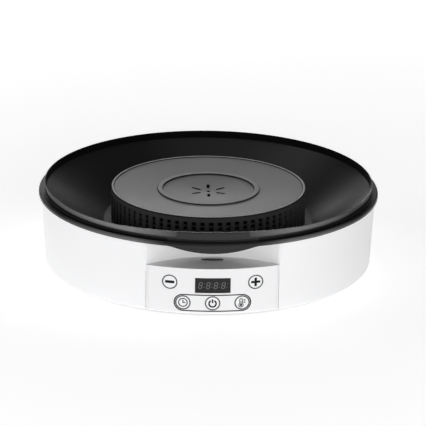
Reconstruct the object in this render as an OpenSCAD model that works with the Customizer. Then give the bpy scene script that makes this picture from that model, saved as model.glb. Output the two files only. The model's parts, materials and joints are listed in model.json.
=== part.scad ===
// Powered base of a round food dehydrator: white casing with a control panel, black dish with an air hub,
// and the fan, motor, heater and boards inside. Millimetres, +Z up, the control panel faces -Y.
// The origin is on the table, under the centre of the base.

/* [Casing] */
// Outer radius of the casing wall under the rim
casing_r = 167.4; // [162:0.2:174]
// How far the wall leans in from the rim to the bottom edge
casing_draft = 3.6; // [1:0.2:5]
// Thickness of the casing wall and of the control panel
casing_wall = 2.6; // [2.2:0.1:3.2]
// Height of the casing's top edge above the table
casing_top = 74.6; // [73:0.2:80]
// Radius of the rounded bottom edge
bottom_round = 3; // [2:0.5:4]
// Radius of the casing's vertical edges beside the recess
recess_round = 4; // [2:0.5:6]

/* [Front recess and panel] */
// Half the width of the opening for the control panel
open_half = 64; // [60:0.5:68]
// Height of the ledge above the table
ledge_top = 50.5; // [49:0.5:53]
// Depth of the recess behind its chord
recess_depth = 22.6; // [18:0.2:25]
// Thickness of the grey ledge trim
trim_t = 2; // [1.5:0.1:2.5]
// Thickness of the shelf under the trim
shelf_t = 2; // [1.5:0.1:2.5]
// Width of the finger dimple in the trim
dimple_w = 26; // [18:0.5:30]
// Distance from the recess wall to the dimple's middle
dimple_back = 8; // [6:0.2:11]
// Depth of the finger dimple
dimple_d = 1.7; // [1:0.1:1.8]
// Radius of the dimple's curve from front to back
dimple_r = 4.8; // [4:0.2:16]

/* [Display and keys] */
// Width of the display window
window_w = 34.2; // [30:0.2:38]
// Height of the display window
window_h = 15.6; // [13:0.2:16]
// Height of the window's centre above the table
window_z = 33.4; // [32.6:0.2:34.4]
// Radius of a key cap
key_r = 6.8; // [6:0.1:7]
// Gap round a key cap in its hole
key_gap = 0.6; // [0.4:0.1:0.8]
// Travel of a key
key_travel = 0.8; // [0.4:0.1:1]
// Distance of the minus and plus keys from the middle
upper_key_x = 41.2; // [38:0.2:43]
// Height of the minus and plus keys
upper_key_z = 35.6; // [34:0.2:36]
// Distance of the timer and temperature keys from the middle
lower_key_x = 28.4; // [26:0.2:30]
// Height of the timer, power and temperature keys
lower_key_z = 15.1; // [14.6:0.1:15.8]
// Half height of the outline round the lower keys
outline_r = 8.3; // [8.2:0.1:8.9]
// Width and depth of the groove that draws that outline
outline_groove = 0.7; // [0.5:0.1:0.9]
// Distance from the panel's side edge to the fine groove beside it
edge_line = 1.9; // [1.4:0.1:3]

/* [Dish] */
// How far the dish's flange stands out past the casing wall
flange_over = 2.6; // [1.6:0.1:8]
// Thickness of the dish
dish_wall = 2.2; // [1.8:0.1:2.6]
// How far the flange's edge hangs over the casing's top edge
flange_drop = 1.2; // [0.8:0.1:2]
// Height of the lip above the flange
lip_h = 8; // [6:0.2:10]
// How far the lip flares outward at its top
lip_flare = 1; // [0.6:0.1:1.4]
// How far the lip rises in a long bow at the front
lip_rise = 1.9; // [0.5:0.1:3]
// Half the length of that bow
rise_half = 85; // [60:1:100]
// Width of the flange's flat top outside the lip
seat_w = 4.6; // [3.4:0.1:5.4]
// Drop from the top of the dish's cone to its floor
dish_depth = 32.5; // [28:0.5:34]
// Width of the flat floor round the hub
floor_w = 8.1; // [6:0.1:14]
// Height of the chin below the flange
chin_h = 6.2; // [4:0.2:8]
// Radius of the chin's curved lower edge
chin_curve_r = 147; // [120:1:180]
// Radius of the blends at the chin's ends
chin_blend = 40; // [10:1:60]
// Half the width of the block that fills the groove at the front
block_half = 34.8; // [25:0.2:40]

/* [Air hub] */
// Outer radius of the hub's skirt
hub_r = 97.5; // [94:0.5:99]
// Height of the hub above the floor
hub_h = 34; // [31:0.5:38]
// Thickness of the skirt
skirt_wall = 2.4; // [2:0.1:3]
// Number of slots in the skirt
slot_count = 72; // [48:2:80]
// Width of a slot
slot_w = 4.2; // [3:0.1:4.6]
// Height of the closed band above the slots
slot_band = 4; // [3:0.2:6]
// Number of hoops behind the slots
hoop_count = 4; // [2:1:5]
// Height of a hoop
hoop_h = 1.4; // [1:0.1:2]
// Thickness of the cap
cap_t = 2.4; // [2:0.1:3]
// How far the cap's middle lies below its edge
cap_dip = 5.6; // [2:0.1:6.5]
// Radius of the round bead on the cap's edge
bead_r = 1.5; // [1.3:0.1:2]
// Height of the bead above the cap
bead_h = 0.9; // [0.3:0.1:1.2]
// Middle radius of the raised ring on the cap
ring_r = 48.5; // [40:0.5:60]
// Width of that ring
ring_w = 5; // [3:0.2:8]
// Height of that ring
ring_h = 1.2; // [0.6:0.1:2]
// Inner end of the cap's vents
vent_r0 = 10.5; // [8:0.5:12]
// Outer end of the cap's vents
vent_r1 = 17.5; // [15:0.5:24]
// Width of a vent
vent_w = 3; // [1.6:0.1:3.6]
// Gap between the heat shield under the cap and the cap's posts
shield_gap = 5.9; // [3:0.1:12]

/* [Fan and heater] */
// Gap between the fan's blades and the heater's supports
fan_gap = 10.5; // [4:0.5:16]
// Number of fan blades
blade_count = 14; // [8:1:18]
// Gap between the shaft's end and the heat shield
shaft_gap = 2.5; // [1:0.1:5]
// Gap between the heater coils and the cap's posts
coil_gap = 9.8; // [5:0.1:12]
// Outer radius of a heater coil
coil_r = 2.6; // [2:0.1:3]
// Number of heater coils
coil_count = 3; // [2:1:3]
// Thickness of the heater tray
tray_t = 1; // [0.8:0.1:1.4]
// How far the fan's blades reach out past the edge of the tray's air inlet
inlet_lap = 7; // [3:0.5:10]

/* [Motor] */
// Thickness of the lamination stack
stack_t = 14; // [12:0.5:15]
// Radius of the rotor
rotor_r = 13.7; // [12:0.1:14]
// Air gap between rotor and laminations
air_gap = 0.5; // [0.4:0.1:0.8]
// Radius of the motor shaft
shaft_r = 3; // [2.5:0.1:3.5]
// Height of a bearing cup
cup_h = 6; // [5:0.5:6.5]

/* [Base plate] */
// How far the base plate stands above the table on its feet
foot_h = 3; // [2:0.5:4]
// Thickness of the base plate
plate_t = 2.4; // [2:0.1:3]
// Radius of a foot
foot_r = 9; // [7:0.5:11]
// Distance from the casing's bottom flange in to the centres of the feet
foot_inset = 12; // [11:0.5:30]
// Outer end of the intake slots
grille_r = 58; // [50:1:62]
// Bore of the cord bushing
cord_r = 3.6; // [3:0.1:4]

/* [Fits] */
// Gap between housing parts
gap = 0.3; // [0.2:0.05:0.4]
// Running gap of shafts and plungers
run_gap = 0.05; // [0.03:0.01:0.08]
// Radius of a screw's shank
screw_r = 1.5; // [1.25:0.05:1.75]

/* [Hidden] */
$fn = 120;
big = 400;

// Casing wall: it leans in by casing_draft from the top edge down to the bottom edge
function wall_r(z) = casing_r - casing_draft * (casing_top - z) / (casing_top - foot_h);
function arc(c, r, a0, a1, n) = [for (i = [0 : n]) let (a = a0 + (a1 - a0) * i / n)
    [c[0] + r * cos(a), c[1] + r * sin(a)]];

// Base plate and its rebate in the casing
plate_r = wall_r(foot_h) - bottom_round - 2.4;
rebate_r = plate_r + gap;
plate_top = foot_h + plate_t;
bottom_flange_z0 = plate_top + gap;
bottom_flange_z1 = bottom_flange_z0 + 2.2;
bottom_flange_r = plate_r - 12.4;
base_screw_r = (plate_r + bottom_flange_r) / 2;
base_screw_angles = [for (i = [0 : 5]) 60 * i];
base_boss_h = 9;
boss_r = 4;
screw_hole_r = screw_r + run_gap;
clear_hole_r = screw_r + 0.2;
head_r = screw_r * 2;
head_h = screw_r * 1.4;
plastic_bite = 8;
short_bite = 4;
bracket_bite = 3;

// Recess: a cylinder that bulges inward, behind the chord between the opening's corners
chord_y = -sqrt(pow(wall_r(ledge_top), 2) - pow(open_half, 2));
recess_r = (pow(open_half, 2) + pow(recess_depth, 2)) / (2 * recess_depth);
recess_y = chord_y + recess_depth - recess_r;
recess_z0 = ledge_top - trim_t - shelf_t - 2.5;
edge_c_r = wall_r((ledge_top + casing_top) / 2) - recess_round;
edge_c_y = (pow(recess_r + recess_round, 2) - pow(edge_c_r, 2) - pow(recess_y, 2)) / (-2 * recess_y);
edge_c = [sqrt(pow(edge_c_r, 2) - pow(edge_c_y, 2)), edge_c_y];
panel_half = open_half - gap;
jamb_t = 2.4;
jamb_top = recess_z0 - 1;
panel_screw_zs = [bottom_flange_z1 + 8, jamb_top - 9];
trim_lip = 1.4;
shelf_top = ledge_top - trim_t;

// Control board and what stands on it
KEYS = [[-upper_key_x, upper_key_z], [upper_key_x, upper_key_z], [-lower_key_x, lower_key_z],
    [0, lower_key_z], [lower_key_x, lower_key_z]];
switch_h = 4.3;
switch_w = 6;
plunger_r = 1.7;
plunger_in = 2.4;
plunger_out = key_travel + 0.4;
key_flange_r = key_r + 1.5;
key_flange_t = 1.2;
key_stem_r = 2.4;
// Where the flange of a key comes closest to the board, behind the panel's leaning, curved back
function key_back(k) = key_flange_t - sqrt(pow(wall_r(k[1] - key_flange_r) - casing_wall - gap, 2)
    - pow(abs(k[0]) + key_flange_r, 2));
board_t = 1.6;
board_y = key_back(KEYS[0]) + 1 + plunger_out + switch_h;
board_half = upper_key_x + 15.2;
board_z0 = bottom_flange_z1 + 1;
board_z1 = recess_z0 - 1.2;
board_screw_x = board_half - 3.4;
board_screw_zs = [board_z0 + 3.5, board_z1 - 3.5];
jamb_y = board_y + 6;
panel_screw_y = jamb_y - 5.5;
window_flange = 1;
window_rim = 1.6;

// Dish
flange_t = 2.4;
block_low = 2.4;
flange_r = casing_r + flange_over;
floor_r = hub_r + floor_w;
flange_top = casing_top + flange_t;
flange_low = casing_top - flange_drop;
lip_r = flange_r - 2 - seat_w;
lip_t = 1.2;
lip_top = flange_top + lip_h;
cone_r = lip_r - lip_t + 0.3;
cone_top = flange_top + 0.5;
seam_z = cone_top - dish_depth;
cone_slope = dish_depth / (cone_r - floor_r);
cone_drop = dish_wall * sqrt(1 + cone_slope * cone_slope);
function cone_z(r) = seam_z + (r - floor_r) * cone_slope;
hub_flange_t = 2;
hub_flange_r = floor_r - 0.7;
floor_z = seam_z - hub_flange_t;
floor_under = floor_z - dish_wall;
floor_hole_r = hub_r - 17.5;
post_r = 4;
post_ring_r = hub_r - skirt_wall - 8.2;
post_angles = [45, 135, 225, 315];
dish_screw_angles = [30, 90, 150, 210, 330];
dish_screw_r = wall_r(casing_top) - casing_wall - 9.5;
lug_t = 4;
lug_top = cone_z(dish_screw_r) - cone_drop - 10;

// Hub
cap_edge_t = 0.8;
skirt_top = seam_z + hub_h - cap_edge_t - bead_h;
cap_top = skirt_top + cap_edge_t;
cap_under = cap_top - cap_t;
slot_z0 = seam_z + 3;
slot_z1 = skirt_top - slot_band;
spigot_h = 3.5;
bead_a = asin((bead_r - bead_h) / bead_r);
function cap_z(r) = cap_top - cap_dip * (1 - r / (hub_r - 2));
shield_z = cap_under - cap_dip - 4;
shield_t = 1;
shield_r = post_ring_r - post_r - shield_gap - shield_t;
shield_angles = [90, 210, 330];
shield_post_r = shield_r - 7;

// Heater tray, fan and motor
tray_z0 = floor_under - tray_t;
tray_r = post_ring_r + 6.5;
coil_ring_r = post_ring_r - post_r - coil_gap - coil_r;
support_r0 = coil_ring_r - coil_r - 3.4;
support_r1 = coil_ring_r + coil_r + 3.4;
fan_r = support_r0 - fan_gap;
inlet_r = fan_r - inlet_lap;
fan_z0 = floor_under + 4;
fan_disc_t = 1.2;
fan_hub_r = 8;
shaft_end = 2.5;
fan_hub_z1 = shield_z - shaft_gap - shaft_end;
fan_z1 = fan_hub_z1 - 2.5 - fan_disc_t;
blade_h = fan_z1 - fan_z0;
blade_t = 1.2;
blade_r0 = 24;
blade_curve_r = 42;
coil_z0 = floor_under + coil_r + 2;
support_h = shield_z - 3.3 - floor_under;
coil_pitch = (floor_under + support_h - 2 - coil_r - coil_z0) / (coil_count - 1);
support_t = 1.2;
support_angles = [for (i = [0 : 5]) 60 * i];
bracket_t = 1.5;
bracket_w = 22;
bracket_half = inlet_r + 12;
bracket_z0 = tray_z0 - bracket_t;
frame_t = 2;
frame_w = 16;
cup_r = shaft_r + 5;
stack_z1 = bracket_z0 + bracket_t / 2 - cup_h - frame_t;
stack_z0 = stack_z1 - stack_t;
stack_y = rotor_r + air_gap + 9.8;
stack_x0 = -(rotor_r + air_gap + 5.8);
window_x0 = rotor_r + air_gap + 3.8;
window_x1 = window_x0 + 12;
stack_x1 = window_x1 + 8;
window_y = 14;
bolt_y = rotor_r + air_gap + 5.2;
bearing_r = shaft_r + 2;
bearing_h = cup_h - 1.2;
shaft_z0 = stack_z0 - frame_t - cup_h - 0.8;

// Power board
power_w = 60;
power_d = 50;
power_x = power_w / 2 + 18 - bottom_flange_r;
power_y = 34;
power_z = plate_top + 7;
relay_w = 19;
relay_d = 15.5;
core_w = 28;
core_d = 24;
core_h = 19;
can_r = 5;
can_h = 14;
power_top = power_z + board_t;
power_posts = [for (sx = [-1, 1], sy = [-1, 1])
    [power_x + sx * (power_w / 2 - 4), power_y + sy * (power_d / 2 - 4)]];

foot_ring_r = bottom_flange_r - foot_inset;
foot_angles = [45, 135, 225, 315];
foot_stem_r = 3;
bushing_z = plate_top + 13;
bushing_neck_r = cord_r + 2.6;

// ---- shared shapes ----

// A band of the leaning wall between two depths below its outer surface
module wall_band(in0, in1, z0, z1) {
    rotate_extrude($fn = 360) polygon([[wall_r(z0) - in1, z0], [wall_r(z0) - in0, z0],
        [wall_r(z1) - in0, z1], [wall_r(z1) - in1, z1]]);
}

// All that lies deeper than in0 below the leaning wall's outer surface
module wall_core(in0, z0, z1) {
    rotate_extrude($fn = 360) polygon([[0, z0], [wall_r(z0) - in0, z0], [wall_r(z1) - in0, z1], [0, z1]]);
}

// The whole wall with its rounded bottom edge
module wall_ring() {
    c = [wall_r(foot_h + bottom_round) - bottom_round, foot_h + bottom_round];
    rotate_extrude() polygon(concat([[rebate_r, foot_h]], arc(c, bottom_round, -90, 0, 6),
        [[casing_r, casing_top], [casing_r - casing_wall, casing_top],
        [wall_r(bottom_flange_z1) - casing_wall, bottom_flange_z1], [rebate_r, bottom_flange_z1]]));
}

// A cylinder that lies along Y, from y0 to y1, centred on x and z
module y_rod(x, z, r, y0, y1) {
    translate([x, y1, z]) rotate([90, 0, 0]) cylinder(r = r, h = y1 - y0);
}

// The recess's plan, as a standing cylinder grown by more
module recess_column(more, z0, z1) {
    translate([0, recess_y, z0]) cylinder(r = recess_r + more, h = z1 - z0);
}

// What trims the recess's two front corners to a round edge
module recess_flare(z0, z1) {
    k = recess_round / (recess_r + recess_round);
    t2 = edge_c + ([0, recess_y] - edge_c) * (k + 0.02);
    for (m = [0, 1]) mirror([m, 0, 0]) translate([0, 0, z0]) linear_extrude(z1 - z0) difference() {
        polygon([edge_c, edge_c * (casing_r + 4) / edge_c_r, [open_half - 1, chord_y - 6], t2]);
        translate(edge_c) circle(recess_round);
    }
}

// A stadium on the panel, seen from the front, as a solid along Y
module stadium(half_l, r, z) {
    translate([0, -casing_r - 5, z]) rotate([-90, 0, 0]) linear_extrude(20) union() {
        for (s = [-1, 1]) translate([s * half_l, 0]) circle(r);
        square([2 * half_l, 2 * r], center = true);
    }
}

// A screw that points up, with its head's underside at z
module screw_up(z, l) {
    translate([0, 0, z - head_h]) cylinder(r = head_r, h = head_h);
    translate([0, 0, z - 0.01]) cylinder(r = screw_r, h = l + 0.01);
}

// Everything on and above the middle of the dish's wall
module above_dish(lower) {
    z = cone_drop / 2 + lower;
    rotate_extrude() polygon([[0, floor_z - z], [floor_r, floor_z - z], [floor_r + 2, cone_z(floor_r + 2) - z],
        [cone_r, cone_top - z], [cone_r, big], [0, big]]);
}

// ---- casing and panel ----

module outer_casing() color("white") difference() {
    union() {
        difference() {
            union() {
                wall_ring();
                bottom_flange();
                dish_lugs();
            }
            front_cut();
        }
        recess_wall();
        jambs();
    }
    recess_column(0, recess_z0 - 1, big);
    recess_flare(ledge_top, big);
    for (a = dish_screw_angles) rotate(a) translate([dish_screw_r, 0, foot_h]) {
        cylinder(r = clear_hole_r, h = big);
        cylinder(r = head_r + 1, h = lug_top - lug_t - foot_h);
    }
    for (a = base_screw_angles) rotate(a) translate([base_screw_r, 0, foot_h])
        cylinder(r = screw_hole_r, h = bottom_flange_z0 - foot_h + base_boss_h + 1);
    y_rod(0, bushing_z, bushing_neck_r + gap / 2, casing_r - 20, casing_r + 20);
    for (s = [-1, 1], z = panel_screw_zs) translate([s * open_half, panel_screw_y, z]) rotate([0, 90, 0])
        cylinder(r = screw_hole_r, h = 4 * jamb_t, center = true);
}

// Inward flange that the base plate is screwed to, with its bosses
module bottom_flange() {
    rotate_extrude() polygon([[bottom_flange_r, bottom_flange_z0], [rebate_r + 1, bottom_flange_z0],
        [rebate_r + 1, bottom_flange_z1], [bottom_flange_r, bottom_flange_z1]]);
    for (a = base_screw_angles) rotate(a) translate([base_screw_r, 0, bottom_flange_z0])
        cylinder(r = boss_r, h = base_boss_h);
}

// Lugs on the wall that the dish is screwed to
module dish_lugs() {
    wall_in = wall_r(lug_top) - casing_wall / 2;
    for (a = dish_screw_angles) rotate(a) {
        translate([dish_screw_r, 0, lug_top - lug_t]) cylinder(r = boss_r + 1.5, h = lug_t);
        translate([dish_screw_r, -boss_r - 1.5, lug_top - lug_t])
            cube([wall_in - dish_screw_r, 2 * boss_r + 3, lug_t]);
        for (s = [-1, 1]) translate([dish_screw_r, s * (boss_r + 0.5) - 1, lug_top - lug_t])
            rotate([90, 0, 90]) linear_extrude(wall_in - dish_screw_r)
                polygon([[0, 0.5], [2, 0.5], [2, -8], [0, -8]]);
    }
}

// Opening for the panel: outside the rebate low down, and clear of the recess wall above
module front_cut() {
    difference() {
        translate([-open_half, -casing_r - 5, -1]) cube([2 * open_half, 100, recess_z0 + 1]);
        translate([0, 0, -2]) cylinder(r = rebate_r, h = big);
    }
}

// Curved wall at the back of the recess, up to the dish's underside
module recess_wall() {
    difference() {
        intersection() {
            recess_column(casing_wall, recess_z0, casing_top);
            translate([-open_half - 8, -casing_r, recess_z0]) cube([2 * open_half + 16, 60, big]);
            rotate_extrude() polygon([[0, recess_z0], [wall_r(recess_z0) - 0.8, recess_z0],
                [casing_r - 0.8, casing_top], [0, casing_top]]);
        }
        above_dish(cone_drop / 2 + gap);
    }
}

// Inner ribs beside the opening that the panel is screwed to
module jambs() {
    for (m = [0, 1]) mirror([m, 0, 0]) intersection() {
        translate([open_half, -casing_r, bottom_flange_z1 - 1])
            cube([jamb_t, casing_r + jamb_y, jamb_top - bottom_flange_z1 + 1]);
        cylinder(r = wall_r(foot_h) - casing_wall / 2, h = big);
    }
}

module control_panel() color("white") difference() {
    union() {
        intersection() {
            wall_ring();
            translate([-panel_half, -casing_r - 5, 0]) cube([2 * panel_half, 100, ledge_top]);
        }
        shelf();
        panel_returns();
        board_bosses();
    }
    difference() {
        translate([-casing_r, -casing_r, recess_z0 - gap]) cube([2 * casing_r, casing_r, big]);
        recess_column(-gap, 0, big);
    }
    difference() {
        translate([-casing_r, -casing_r, 0]) cube([2 * casing_r, casing_r, recess_z0]);
        translate([0, 0, -1]) difference() {
            cylinder(r = casing_r + 9, h = big);
            cylinder(r = rebate_r + gap, h = bottom_flange_z1 + gap + 1);
        }
    }
    trim_space(gap);
    translate([-window_w / 2, -casing_r - 5, window_z - window_h / 2]) cube([window_w, 30, window_h]);
    for (k = KEYS) y_rod(k[0], k[1], key_r + key_gap, -casing_r - 5, board_y - 6);
    intersection() {
        wall_band(-1, outline_groove, foot_h + 1, ledge_top);
        difference() {
            stadium(lower_key_x, outline_r + outline_groove / 2, lower_key_z);
            stadium(lower_key_x, outline_r - outline_groove / 2, lower_key_z);
        }
    }
    for (s = [-1, 1]) intersection() {
        wall_band(-1, outline_groove / 2, foot_h + 1, ledge_top);
        translate([s * (panel_half - edge_line) - 0.25, -casing_r - 5, 0]) cube([0.5, 100, ledge_top]);
    }
    for (s = [-1, 1], z = board_screw_zs)
        y_rod(s * board_screw_x, z, screw_hole_r, board_y - 5.5, board_y + 1);
    for (s = [-1, 1], z = panel_screw_zs) translate([s * panel_half, panel_screw_y, z]) rotate([0, 90, 0])
        cylinder(r = clear_hole_r, h = 4 * jamb_t, center = true);
}

// Shelf behind the panel's top edge, under the trim
module shelf() {
    intersection() {
        translate([-panel_half, -casing_r, shelf_top - shelf_t]) cube([2 * panel_half, casing_r, shelf_t]);
        recess_column(-gap, 0, big);
        cylinder(r = wall_r(shelf_top) - casing_wall / 2, h = big);
    }
}

// Side walls of the panel, inside the casing's jambs
module panel_returns() {
    z0 = bottom_flange_z1 + gap;
    for (m = [0, 1]) mirror([m, 0, 0]) intersection() {
        translate([panel_half - jamb_t, -casing_r, z0]) cube([jamb_t, casing_r + jamb_y, jamb_top - z0]);
        cylinder(r = wall_r(foot_h) - casing_wall / 2, h = big);
    }
}

// Bosses on the panel's back that carry the control board
module board_bosses() {
    intersection() {
        for (s = [-1, 1], z = board_screw_zs) y_rod(s * board_screw_x, z, screw_hole_r + 1.5, -casing_r, board_y);
        rotate_extrude() polygon([[0, foot_h], [wall_r(foot_h) - casing_wall / 2, foot_h],
            [casing_r - casing_wall / 2, casing_top], [0, casing_top]]);
    }
}

// The trim's own shape, grown by more on its front and sides
module trim_space(more) {
    half = panel_half - 1;
    intersection() {
        translate([-half - more, -casing_r, shelf_top]) cube([2 * half + 2 * more, casing_r, trim_t + 2 * more]);
        recess_column(-gap + more, 0, big);
        cylinder(r = wall_r(shelf_top) - trim_lip - gap + more, h = big);
    }
}

// Grey ledge with a finger dimple cut by a ring that stands on edge
module ledge_trim() color([0.5, 0.5, 0.51]) difference() {
    intersection() {
        trim_space(0);
        translate([-casing_r, -casing_r, 0]) cube([2 * casing_r, casing_r, ledge_top]);
    }
    bow_r = (pow(dimple_w / 2, 2) + pow(dimple_d, 2)) / (2 * dimple_d);
    translate([0, recess_y + recess_r - dimple_back, ledge_top - dimple_d + bow_r]) rotate([90, 0, 0])
        rotate_extrude() translate([bow_r - dimple_r, 0]) circle(dimple_r, $fn = 64);
}

module display_window() color([0.12, 0.12, 0.13]) {
    z = window_z;
    intersection() {
        wall_band(0.25, casing_wall + 0.2, z - window_h, z + window_h);
        translate([-window_w / 2 + 0.1, -casing_r - 5, z - window_h / 2 + 0.1])
            cube([window_w - 0.2, 30, window_h - 0.2]);
    }
    intersection() {
        wall_band(casing_wall + 0.1, casing_wall + 0.1 + window_flange, z - window_h, z + window_h);
        translate([-window_w / 2 - window_rim, -casing_r - 5, z - window_h / 2 - window_rim])
            cube([window_w + 2 * window_rim, 30, window_h + 2 * window_rim]);
    }
}

// Four-digit LED block between the window and the board, with its four digit faces raised
module display_module() color([0.2, 0.2, 0.2]) {
    w = window_w - 4;
    h = window_h - 1.6;
    z1 = window_z - window_h / 2;
    front_y = -sqrt(pow(wall_r(z1) - casing_wall - window_flange, 2) - pow(w / 2, 2)) + 0.9;
    translate([-w / 2, front_y, window_z - h / 2]) cube([w, board_y - front_y, h]);
    for (i = [-1.5 : 1.5]) translate([i * w / 4.1 - w / 9.5, front_y - 0.3, window_z - h / 3])
        cube([w / 4.75, 0.4, h / 1.5]);
}

module control_board() color("darkgreen") difference() {
    translate([-board_half, board_y, board_z0]) cube([2 * board_half, board_t, board_z1 - board_z0]);
    for (s = [-1, 1], z = board_screw_zs)
        y_rod(s * board_screw_x, z, clear_hole_r, board_y - 1, board_y + board_t + 1);
}

module board_screws() color("silver") for (s = [-1, 1], z = board_screw_zs) {
    y_rod(s * board_screw_x, z, head_r, board_y + board_t, board_y + board_t + head_h);
    y_rod(s * board_screw_x, z, screw_r, board_y - 4.6, board_y + board_t + 0.01);
}

module panel_screws() color("silver") {
    for (m = [0, 1], z = panel_screw_zs) mirror([m, 0, 0])
        translate([panel_half - jamb_t, panel_screw_y, z]) rotate([0, 90, 0]) screw_up(0, 2 * jamb_t + gap);
}

module tactile_switches() color([0.15, 0.15, 0.16]) for (k = KEYS) difference() {
    translate([k[0] - switch_w / 2, board_y - switch_h, k[1] - switch_w / 2])
        cube([switch_w, switch_h, switch_w]);
    y_rod(k[0], k[1], plunger_r + run_gap, board_y - switch_h - 1, board_y - switch_h + plunger_in + key_travel + 0.4);
}

// A key cap follows the panel's face; its flange lies behind the panel and its stem meets the plunger
module key(k) {
    front = board_y - switch_h - plunger_out;
    back = key_back(k);
    intersection() {
        y_rod(k[0], k[1], key_r, -casing_r - 5, back - key_flange_t / 2);
        wall_core(0, foot_h, ledge_top);
    }
    intersection() {
        y_rod(k[0], k[1], key_flange_r, -casing_r - 5, back);
        wall_core(casing_wall + gap, bottom_flange_z1 + gap, ledge_top);
    }
    y_rod(k[0], k[1], key_stem_r, back - key_flange_t / 2, front);
}
module button_minus() color("white") key(KEYS[0]);
module button_plus() color("white") key(KEYS[1]);
module button_timer() color("white") key(KEYS[2]);
module button_power() color("white") key(KEYS[3]);
module button_temp() color("white") key(KEYS[4]);

module plunger(k) color("dimgray")
    y_rod(k[0], k[1], plunger_r, board_y - switch_h - plunger_out, board_y - switch_h + plunger_in);
module plunger_minus() plunger(KEYS[0]);
module plunger_plus() plunger(KEYS[1]);
module plunger_timer() plunger(KEYS[2]);
module plunger_power() plunger(KEYS[3]);
module plunger_temp() plunger(KEYS[4]);

// ---- dish and hub ----

module dish() color([0.08, 0.08, 0.08]) {
    difference() {
        union() {
            rotate_extrude() polygon(dish_profile());
            difference() {
                for (a = dish_screw_angles) rotate(a) translate([dish_screw_r, 0, lug_top])
                    cylinder(r = boss_r, h = 30);
                above_dish(0);
                wall_band(-20, casing_wall + gap, 0, casing_top + 20);
            }
            front_block();
            front_rise();
            chin();
        }
        for (a = dish_screw_angles) rotate(a) translate([dish_screw_r, 0, lug_top - 1])
            cylinder(r = screw_hole_r, h = 10);
        for (a = post_angles) rotate(a) translate([post_ring_r, 0, floor_under - 1])
            cylinder(r = clear_hole_r, h = dish_wall + 2);
    }
}

// Floor, step, cone, lip, seat and edge, then back along the underside
function dish_profile() = concat(
    [[floor_hole_r, floor_under], [floor_hole_r, floor_z], [floor_r - 0.4, floor_z], [floor_r - 0.4, seam_z],
    [floor_r, seam_z], [cone_r, cone_top]],
    arc([lip_r + lip_flare - lip_t / 2, lip_top - lip_t / 2], lip_t / 2, 180, 0, 6),
    [[lip_r + 0.3, lip_top - 4.5], [lip_r, lip_top - 4.8]],
    arc([lip_r + 0.8, flange_top + 0.8], 0.8, 180, 270, 3),
    arc([flange_r - 2, flange_top - 2], 2, 90, 0, 5),
    [[flange_r, flange_low], [casing_r + gap, flange_low], [casing_r + gap, casing_top],
    [cone_r + (cone_drop + casing_top - cone_top) / cone_slope, casing_top],
    [floor_r + dish_wall, cone_z(floor_r + dish_wall) - cone_drop], [floor_r + dish_wall, floor_under]]);

// At the front a block fills most of the groove under the lip's flare
module front_block() {
    intersection() {
        rotate_extrude() polygon([[lip_r - 0.4, flange_top + block_low],
            [lip_r + lip_flare + 0.4, flange_top + block_low],
            [lip_r + lip_flare + 0.4, lip_top + lip_rise / 2 - 0.4], [lip_r + lip_flare - 0.2, lip_top + lip_rise / 2],
            [lip_r + lip_flare - 0.6, lip_top - 0.9]]);
        translate([-block_half, -casing_r, 0]) cube([2 * block_half, 100, big]);
    }
}

// The lip's long low bow at the front
module front_rise() {
    bow_r = (pow(rise_half, 2) + pow(lip_rise, 2)) / (2 * lip_rise);
    intersection() {
        rotate_extrude() translate([lip_r + lip_flare - lip_t + 0.05, lip_top - lip_t])
            square([lip_t - 0.2, lip_t + lip_rise]);
        y_rod(0, lip_top + lip_rise - bow_r, bow_r, -flange_r - 5, -flange_r / 2);
    }
}

// A lobe of the flange's edge that hangs over the recess
module chin() {
    intersection() {
        rotate_extrude() polygon([[flange_r - 2.4, flange_low - chin_h - 1], [flange_r - 0.5, flange_low - chin_h - 1],
            [flange_r - 0.5, flange_low + 0.5], [flange_r - 2.4, flange_low + 0.5]]);
        translate([0, -flange_r / 2, flange_low]) rotate([90, 0, 0]) linear_extrude(flange_r) chin_plan();
    }
}

// The chin from the front: an arc that runs into the flange's straight edge through two blends
module chin_plan() {
    rise = chin_curve_r - chin_h;
    blend_x = sqrt(pow(chin_curve_r + chin_blend, 2) - pow(rise + chin_blend, 2));
    lean = atan2(rise + chin_blend, blend_x);
    polygon(concat(arc([-blend_x, -chin_blend], chin_blend, 90, lean, 5),
        arc([0, rise], chin_curve_r, 180 + lean, 360 - lean, 20),
        arc([blend_x, -chin_blend], chin_blend, 180 - lean, 90, 5), [[blend_x, 0.5], [-blend_x, 0.5]]));
}

module dish_screws() color("silver")
    for (a = dish_screw_angles) rotate(a) translate([dish_screw_r, 0, 0]) screw_up(lug_top - lug_t, lug_t + plastic_bite);

module hub_skirt() color([0.08, 0.08, 0.08]) difference() {
    union() {
        difference() {
            rotate_extrude() polygon([[hub_r - skirt_wall, floor_z], [hub_flange_r, floor_z], [hub_flange_r, seam_z],
                [hub_r, seam_z], [hub_r, skirt_top], [hub_r - skirt_wall, skirt_top]]);
            for (i = [0 : slot_count - 1]) rotate(90 + 360 * i / slot_count)
                translate([hub_r - skirt_wall - 2, -slot_w / 2, slot_z0])
                    cube([skirt_wall + 4, slot_w, slot_z1 - slot_z0]);
        }
        hoop_pitch = (slot_z1 - slot_z0) / (hoop_count + 1);
        for (i = [1 : hoop_count]) rotate_extrude() translate([hub_r - skirt_wall, slot_z0 + i * hoop_pitch])
            square([skirt_wall / 2, hoop_h]);
    }
}

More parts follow.
